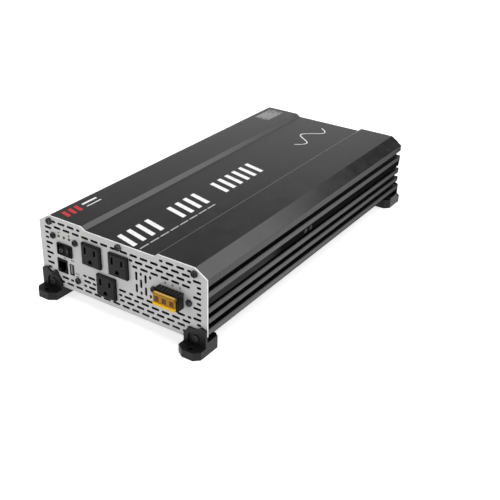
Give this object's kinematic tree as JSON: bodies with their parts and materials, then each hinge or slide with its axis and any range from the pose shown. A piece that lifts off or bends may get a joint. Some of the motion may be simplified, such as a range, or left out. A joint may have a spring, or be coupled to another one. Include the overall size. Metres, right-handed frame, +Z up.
{
  "type": "power inverter",
  "caption": "Mobile power inverter with a finned metal housing, vented end panels, corner feet, mains sockets, switch, ports, terminal block and rear fans.",
  "frame": {"origin": "on the floor, under the middle of the whole object", "axes": "+X across the body to the right as seen from the socket end, +Y from the socket end to the battery end, +Z up"},
  "size_m": [0.22, 0.472, 0.094],
  "materials": {
    "anodised_black": "fine satin",
    "tray_paint": "satin",
    "panel_silver": "fine texture, satin",
    "panel_dark": "fine texture, satin",
    "foot_plastic": "fine texture",
    "black_screw": "black zinc, satin",
    "plain_screw": "zinc plated",
    "socket_plastic": "satin moulded",
    "switch_plastic": "gloss moulded",
    "port_plastic": "moulded",
    "brass_parts": "plain",
    "plated_shell": "nickel plated",
    "tongue_plastic": "moulded",
    "lamp_lens": "clear",
    "circuit_board": "solder mask",
    "block_plastic": "moulded",
    "amber_cover": "clear tinted plastic",
    "fan_plastic": "moulded",
    "guard_wire": "bright",
    "red_plastic": "moulded",
    "black_plastic": "moulded",
    "ferrite": "matt",
    "copper_winding": "enamelled wire and tape",
    "can_sleeve": "shrink sleeve",
    "powder_core": "coated",
    "heat_bar": "extruded",
    "chip_plastic": "moulded",
    "copper_bar": "bare copper",
    "wire_sleeve": "insulation"
  },
  "bodies": {
    "body": {"housing": "anodised_black", "bottom_tray": "tray_paint", "front_panel": "panel_silver", "rear_panel": "panel_dark", "foot_front_left": "foot_plastic", "foot_front_right": "foot_plastic", "foot_rear_left": "foot_plastic", "foot_rear_right": "foot_plastic", "foot_screws": "black_screw", "front_panel_screws": "black_screw", "rear_panel_screws": "black_screw", "side_screws": "black_screw", "tray_screws": "plain_screw", "socket_left": "socket_plastic", "socket_right": "socket_plastic", "socket_lower": "socket_plastic", "socket_tabs": "brass_parts", "switch_bezel": "switch_plastic", "switch_tabs": "brass_parts", "remote_port": "port_plastic", "remote_contacts": "brass_parts", "usb_shell": "plated_shell", "usb_tongue": "tongue_plastic", "status_lamps": "lamp_lens", "control_board": "circuit_board", "control_spacers": "brass_parts", "control_board_screws": "black_screw", "terminal_block": "block_plastic", "terminal_plates": "brass_parts", "terminal_screws": "plated_shell", "block_screws": "black_screw", "fan_frame_left": "fan_plastic", "fan_frame_right": "fan_plastic", "fan_guard_left": "guard_wire", "fan_guard_right": "guard_wire", "fan_screws": "plain_screw", "stud_bases_positive": "red_plastic", "stud_bases_negative": "black_plastic", "battery_studs": "brass_parts", "stud_nuts": "brass_parts", "stud_washers": "plated_shell", "ground_stud": "brass_parts", "ground_nut": "plain_screw", "main_board": "circuit_board", "board_spacers": "brass_parts", "transformer_cores": "ferrite", "transformer_windings": "copper_winding", "input_capacitors": "can_sleeve", "bus_capacitors": "can_sleeve", "choke_windings": "copper_winding", "choke_cores": "powder_core", "heat_bars": "heat_bar", "transistors": "chip_plastic", "driver_boards": "circuit_board", "bus_bars": "copper_bar", "output_wires": "wire_sleeve"},
    "rocker": {"switch_rocker": "switch_plastic"},
    "cover": {"terminal_cover": "amber_cover"},
    "rotor_left": {"fan_rotor_left": "fan_plastic"},
    "rotor_right": {"fan_rotor_right": "fan_plastic"}
  },
  "joints": [
    {"name": "rocker_tilt", "type": "hinge", "parent": "body", "child": "rocker", "pos_m": [-0.0752, -0.2161, 0.0592], "axis": [0, 0, -1], "range_deg": [0, 18]},
    {"name": "cover_hinge", "type": "hinge", "parent": "body", "child": "cover", "pos_m": [0.0665, -0.2296, 0.058], "axis": [-1, 0, 0], "range_deg": [0, 110]},
    {"name": "fan_left_spin", "type": "hinge", "parent": "body", "child": "rotor_left", "pos_m": [-0.036, 0.1983, 0.052], "axis": [0, 1, 0], "continuous": true},
    {"name": "fan_right_spin", "type": "hinge", "parent": "body", "child": "rotor_right", "pos_m": [0.036, 0.1983, 0.052], "axis": [0, 1, 0], "continuous": true}
  ]
}
